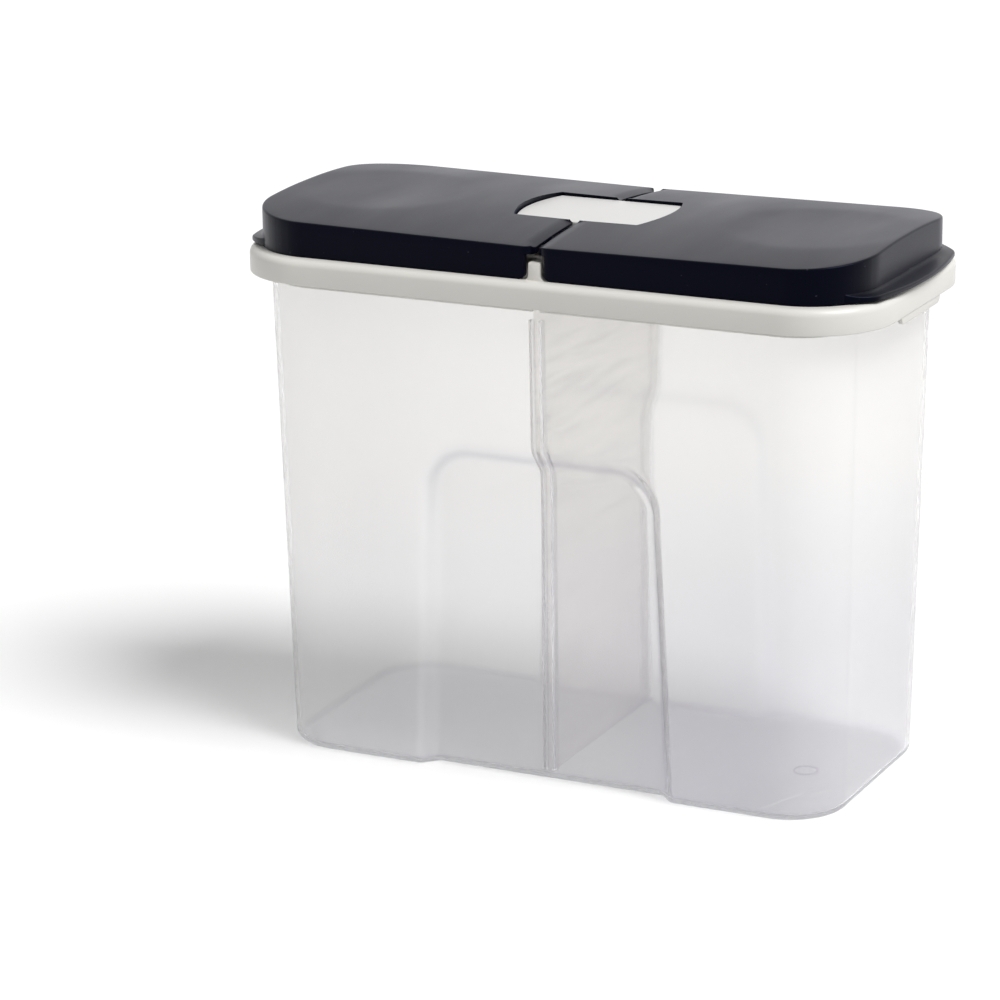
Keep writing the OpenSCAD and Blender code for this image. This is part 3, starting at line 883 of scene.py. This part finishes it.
def flap_shell():
    """The crowned shell of the right flap, with its walls."""
    bm = bmesh.new()
    deep = flap_half - flap_corner
    far_middle = flap_far - flap_corner
    near_middle = flap_near + parting_corner
    wall = (arc(near_middle, -flap_half + parting_corner, parting_corner, 180, 8)
            + arc(far_middle, -deep, flap_corner, -90, 24)
            + arc(far_middle, deep, flap_corner, 0, 24)
            + arc(near_middle, flap_half - parting_corner, parting_corner, 90, 8))
    wall = [Vector(p) - wall_beside(*p)[0] * rim_at(p[0]) for p in wall]
    side = cap_half_width + notch_gap
    near = [(flap_near, side)] + cap_outline(notch_gap)[::-1] + [(flap_near, -side)]
    bm.faces.new([bm.verts.new((*p, 0)) for p in wall + near])
    # a fine grid of cuts lets the flat sheet take the crown and the dish
    for x in [flap_near + parting_bevel, 6] + [9 + flap_mesh * i for i in range(41)]:
        cut(bm, (x, 0, 0), (1, 0, 0))
    for y in [flap_mesh * i for i in range(-19, 20)]:
        cut(bm, (0, y, 0), (0, 1, 0))
    for vert in bm.verts:
        vert.co.z = crown_z(vert.co.x, vert.co.y)
    edges = [e for e in bm.edges if e.is_boundary and all(
        wall_beside(v.co.x, v.co.y)[1] < rim_at(v.co.x) + 0.02 for v in e.verts)]
    rims = {v: (v.co.copy(), wall_beside(v.co.x, v.co.y)[0], rim_at(v.co.x))
            for e in edges for v in e.verts}
    # the edge of the top turns over in four steps, and the walls go down from it
    for turn in (22.5, 45, 67.5, 90):
        edges, pairs = draw_out(bm, edges)
        rims = {new: rims[old] for new, old in pairs.items()}
        out, down = math.sin(math.radians(turn)), 1 - math.cos(math.radians(turn))
        for vert, (at, way, r) in rims.items():
            vert.co = at + Vector((way.x * r * out, way.y * r * out, -r * down))
    for z in (thin_edge_low, 188, flap_foot + wall_round, flap_foot):
        edges, pairs = draw_out(bm, edges)
        for vert in pairs:
            vert.co.z = z
    # the walls stop beside the post with a rounded lower corner
    cut(bm, (wall_from, 0, 0), (1, 0, 0))
    low = [f for f in bm.faces if f.calc_center_median().x < wall_from
           and f.calc_center_median().z < thin_edge_low]
    bmesh.ops.delete(bm, geom=low, context="FACES")
    for turn in (202.5, 225, 247.5):
        way = Vector((math.cos(math.radians(turn)), 0, math.sin(math.radians(turn))))
        middle = Vector((wall_from + wall_round, 0, flap_foot + wall_round))
        cut(bm, middle + way * wall_round, way, clear=True)
    # the bevel along the parting line
    for vert in bm.verts:
        past = flap_near + parting_bevel - vert.co.x
        if past > 0:
            vert.co.z = min(vert.co.z, crown_z(vert.co.x, vert.co.y) - past)
    bmesh.ops.remove_doubles(bm, verts=bm.verts, dist=0.001)
    # the inner face is a copy of the outer one, joined to it round the rim
    rim = [e for e in bm.edges if e.is_boundary]
    twin = bmesh.ops.duplicate(bm, geom=bm.verts[:] + bm.edges[:] + bm.faces[:])
    copies = verts_of(twin["geom"])
    edges, pairs = draw_out(bm, rim)
    for vert in copies + list(pairs):
        vert.co = inner_face(*vert.co)
    bmesh.ops.remove_doubles(bm, verts=copies + list(pairs), dist=0.001)
    bmesh.ops.dissolve_degenerate(bm, edges=bm.edges, dist=0.0005)
    bmesh.ops.recalc_face_normals(bm, faces=bm.faces[:])
    return bm


# Under the top are the ring that closes the mouth and the cheeks with their pins. The
# finger lip grows out of the end wall. All are part of the same moulding.

seal_low = 185.5
seal_gap = 0.6
seal_thick = 1.4
seal_edge = 0.3
cheek_middle = 31.05
cheek_thick = 2.5
cheek_top = 194.9
pin_long = 4.6
pin_edge = 0.25
lip_low = 182.9
lip_at_wall = 2.2
lip_fall = math.tan(math.radians(8))
lip_rise = 0.8
lip_hollow = 1.1
lip_out = 122.2
lip_bow = 170.0
lip_half = 46.0
lip_round = 22.0
lip_tip = 44.8
lip_edge = 0.6


def lip_from(y):
    """Where the finger lip grows out of the end wall, half a wall deep."""
    past = max(abs(y) - (flap_half - flap_corner), 0)
    r = flap_corner - flap_thick / 2
    return flap_far - flap_corner + math.sqrt(r * r - past * past)


def lip_to(y):
    """The bowed outer edge of the finger lip."""
    bow = lip_out - lip_bow + math.sqrt(lip_bow ** 2 - y * y)
    past = max(abs(y) - (lip_half - lip_round), 0)
    return min(bow, lip_out - lip_round + math.sqrt(lip_round ** 2 - past * past))


def lip_top(out, to_edge):
    """Height of the finger lip by the distance out from the wall and in from its edge."""
    out = max(out, 0)
    high = lip_at_wall - lip_fall * out + lip_rise * math.exp(-out / lip_hollow)
    over = max(lip_edge - to_edge, 0)
    return lip_low + high - lip_edge + math.sqrt(max(lip_edge ** 2 - over ** 2, 0))


def finger_lip(bm):
    """A thin crescent with a hollowed top, pushed down to its flat underside."""
    verts = bmesh.ops.create_grid(bm, x_segments=16, y_segments=64, size=1)["verts"]
    for vert in verts:
        y = lip_tip * math.sin(vert.co.y * math.pi / 2)
        share = math.sin((vert.co.x + 1) * math.pi / 4)
        start, end = lip_from(y), lip_to(y)
        x = start + (end - start) * share
        vert.co = (x, y, lip_top(x - start - flap_thick / 2, end - x))
    faces = distinct(f for v in verts for f in v.link_faces)
    for vert in verts_of(bmesh.ops.extrude_face_region(bm, geom=faces)["geom"]):
        vert.co.z = lip_low


def flap_fittings(bm):
    """Sealing ring, hinge cheeks and pins under the top."""
    outline = d_outline(mouth_from + seal_gap, mouth_to - seal_gap, mouth_half - seal_gap,
                        mouth_corner_in - seal_gap, mouth_corner - seal_gap)
    first = ring(bm, outline, seal_low + seal_edge)
    tall = crown_top - seal_low
    last = sweep(bm, first, [(0, tall), (-seal_thick, tall), (-seal_thick, 0),
                             (-seal_thick + seal_edge, -seal_edge), (-seal_edge, -seal_edge)])
    bmesh.ops.bridge_loops(bm, edges=ring_edges(first) + ring_edges(last))
    for vert in bm.verts:
        if vert.co.z > crown_top:
            vert.co.z = crown_z(vert.co.x, vert.co.y) - flap_thick / 2
    foot = [(hinge_x + x, hinge_z + z) for x, z in rounding(ear_radius, 180, 360, 15)]
    head = [(hinge_x + ear_radius, cheek_top), (hinge_x - ear_radius, cheek_top)]
    along_y = Matrix.Rotation(math.radians(90), 4, "X")
    for side in (-1, 1):
        slab(bm, foot + head, side * cheek_middle - cheek_thick / 2, cheek_thick)
        pin_y = side * (cheek_middle - (cheek_thick + pin_long) / 2)
        pin = bmesh.ops.create_cone(
            bm, cap_ends=True, segments=24, radius1=pin_radius, radius2=pin_radius,
            depth=pin_long, matrix=Matrix.Translation((hinge_x, pin_y, hinge_z)) @ along_y)
        ends = distinct(e for v in pin["verts"] for e in v.link_edges
                        if abs(e.verts[0].co.y - e.verts[1].co.y) < 0.01)
        soften(bm, ends, pin_edge, segments=1)


def navy_plastic():
    """Nearly black blue plastic from a polished mould, dulled a little by handling."""
    paint = Paint("navy_flap")
    smear = paint.grain(45, 4.0, at=paint.stretched(1, 0.35, 1))
    cloud = paint.grain(18)
    fine = paint.grain(1500)
    dust = paint.ramp(paint.grain(950, 0.0), (0.83, black), (0.86, bright))
    pigment = paint.ramp(cloud, (0.3, (0.0010, 0.0012, 0.0028)),
                         (0.7, (0.0017, 0.0019, 0.0045)))
    return paint.finish(paint.plastic(**{
        "Base Color": paint.blend(dust * 0.4, pigment, (0.06, 0.06, 0.07)),
        "Roughness": 0.27 + smear * 0.16, "Specular IOR Level": 0.42,
        "Specular Tint": (0.06, 0.07, 0.15, 1),
        "Sheen Weight": 0.05, "Sheen Roughness": 0.35, "Sheen Tint": (0.25, 0.3, 1, 1),
        "Normal": paint.bump(fine, 0.2, 0.00002)}))


navy = navy_plastic()
for name, turn in (("right_flap", 0), ("left_flap", math.pi)):
    extra = bmesh.new()
    flap_fittings(extra)
    crescent = bmesh.new()
    finger_lip(crescent)
    for bm in (extra, crescent):
        bmesh.ops.recalc_face_normals(bm, faces=bm.faces[:])
    for label, bm, nodes in (("shell", flap_shell(), [name]), ("fittings", extra, []),
                             ("finger_lip", crescent, [])):
        bmesh.ops.rotate(bm, cent=(0, 0, 0), matrix=Matrix.Rotation(turn, 3, "Z"),
                         verts=bm.verts)
        piece(bm, name + "_" + label, navy, name, "flap", *nodes, sharp=30)

# ---------- camera ----------
# A long lens on a stand in front of the keeper, a little to the right and above it.

camera_at = Vector((567.27, -1233.81, 490.14)) * MM
yaw = math.radians(26.193)
pitch = math.radians(16.376)
roll = math.radians(-0.671)
focal_length = 143.14
forward = Vector((-math.sin(yaw) * math.cos(pitch), math.cos(yaw) * math.cos(pitch),
                  -math.sin(pitch)))
level = Vector((math.cos(yaw), math.sin(yaw), 0))
upright = level.cross(forward)
right = level * math.cos(roll) + upright * math.sin(roll)
up = upright * math.cos(roll) - level * math.sin(roll)
lens = bpy.data.cameras.new("studio_camera")
lens.lens = focal_length
lens.sensor_width = 36
lens.clip_start = 0.1
lens.clip_end = 30
camera = bpy.data.objects.new("studio_camera", lens)
camera.matrix_world = (Matrix.Translation(camera_at)
                       @ Matrix((right, up, -forward)).transposed().to_4x4())
bpy.context.scene.collection.objects.link(camera)
bpy.context.scene.camera = camera

# ---------- studio ----------
# White paper under the keeper, a white room round it, and one big soft lamp high on
# the right.

sun_turn = 11.0
sun_height = 56.0
sun_strength = 0.79
sun_spread = 30.0
room_light = 0.3
paper_white = 0.80
paper_glow = 0.22


def seen(paint):
    """1 for the camera and for what it sees in gloss or through plastic, else 0."""
    camera_ray = paint.node("ShaderNodeLightPath", out="Is Camera Ray")
    gloss_ray = paint.node("ShaderNodeLightPath", out="Is Glossy Ray")
    through_ray = paint.node("ShaderNodeLightPath", out="Is Transmission Ray")
    return paint.math("MAXIMUM", paint.math("MAXIMUM", camera_ray, gloss_ray), through_ray)


scene = bpy.context.scene
scene.view_settings.view_transform = "Standard"
world = bpy.data.worlds.new("white_room")
scene.world = world
world.use_nodes = True
room = Paint("white_room", world.node_tree)
room.node("ShaderNodeOutputWorld", None, {"Surface": room.node(
    "ShaderNodeBackground", None,
    {"Color": (1, 1, 1, 1), "Strength": seen(room) * (1 - room_light) + room_light})})

sun = bpy.data.lights.new("big_soft_lamp", "SUN")
sun.energy = sun_strength * math.pi / math.sin(math.radians(sun_height))
sun.angle = math.radians(sun_spread)
lamp = bpy.data.objects.new("big_soft_lamp", sun)
turned = Matrix.Rotation(math.radians(-sun_turn), 3, "Z")
raised = Matrix.Rotation(math.radians(-sun_height), 3, "Y")
lamp_from = turned @ raised @ Vector((1, 0, 0))
lamp.rotation_euler = lamp_from.to_track_quat("Z", "Y").to_euler()
scene.collection.objects.link(lamp)

paper = Paint("white_paper")
cover = paper.node("ShaderNodeBsdfDiffuse", None,
                   {"Color": (paper_white, paper_white, paper_white, 1)})
glow = paper.node("ShaderNodeEmission", None, {"Strength": seen(paper) * paper_glow})
paper.finish(paper.node("ShaderNodeAddShader", None, {0: cover, 1: glow}))
sheet = bmesh.new()
bmesh.ops.create_grid(sheet, x_segments=2, y_segments=2, size=6)
sheet_mesh = bpy.data.meshes.new("paper")
sheet.to_mesh(sheet_mesh)
sheet.free()
sheet_mesh.materials.append(paper.material)
floor = bpy.data.objects.new("paper", sheet_mesh)
scene.collection.objects.link(floor)
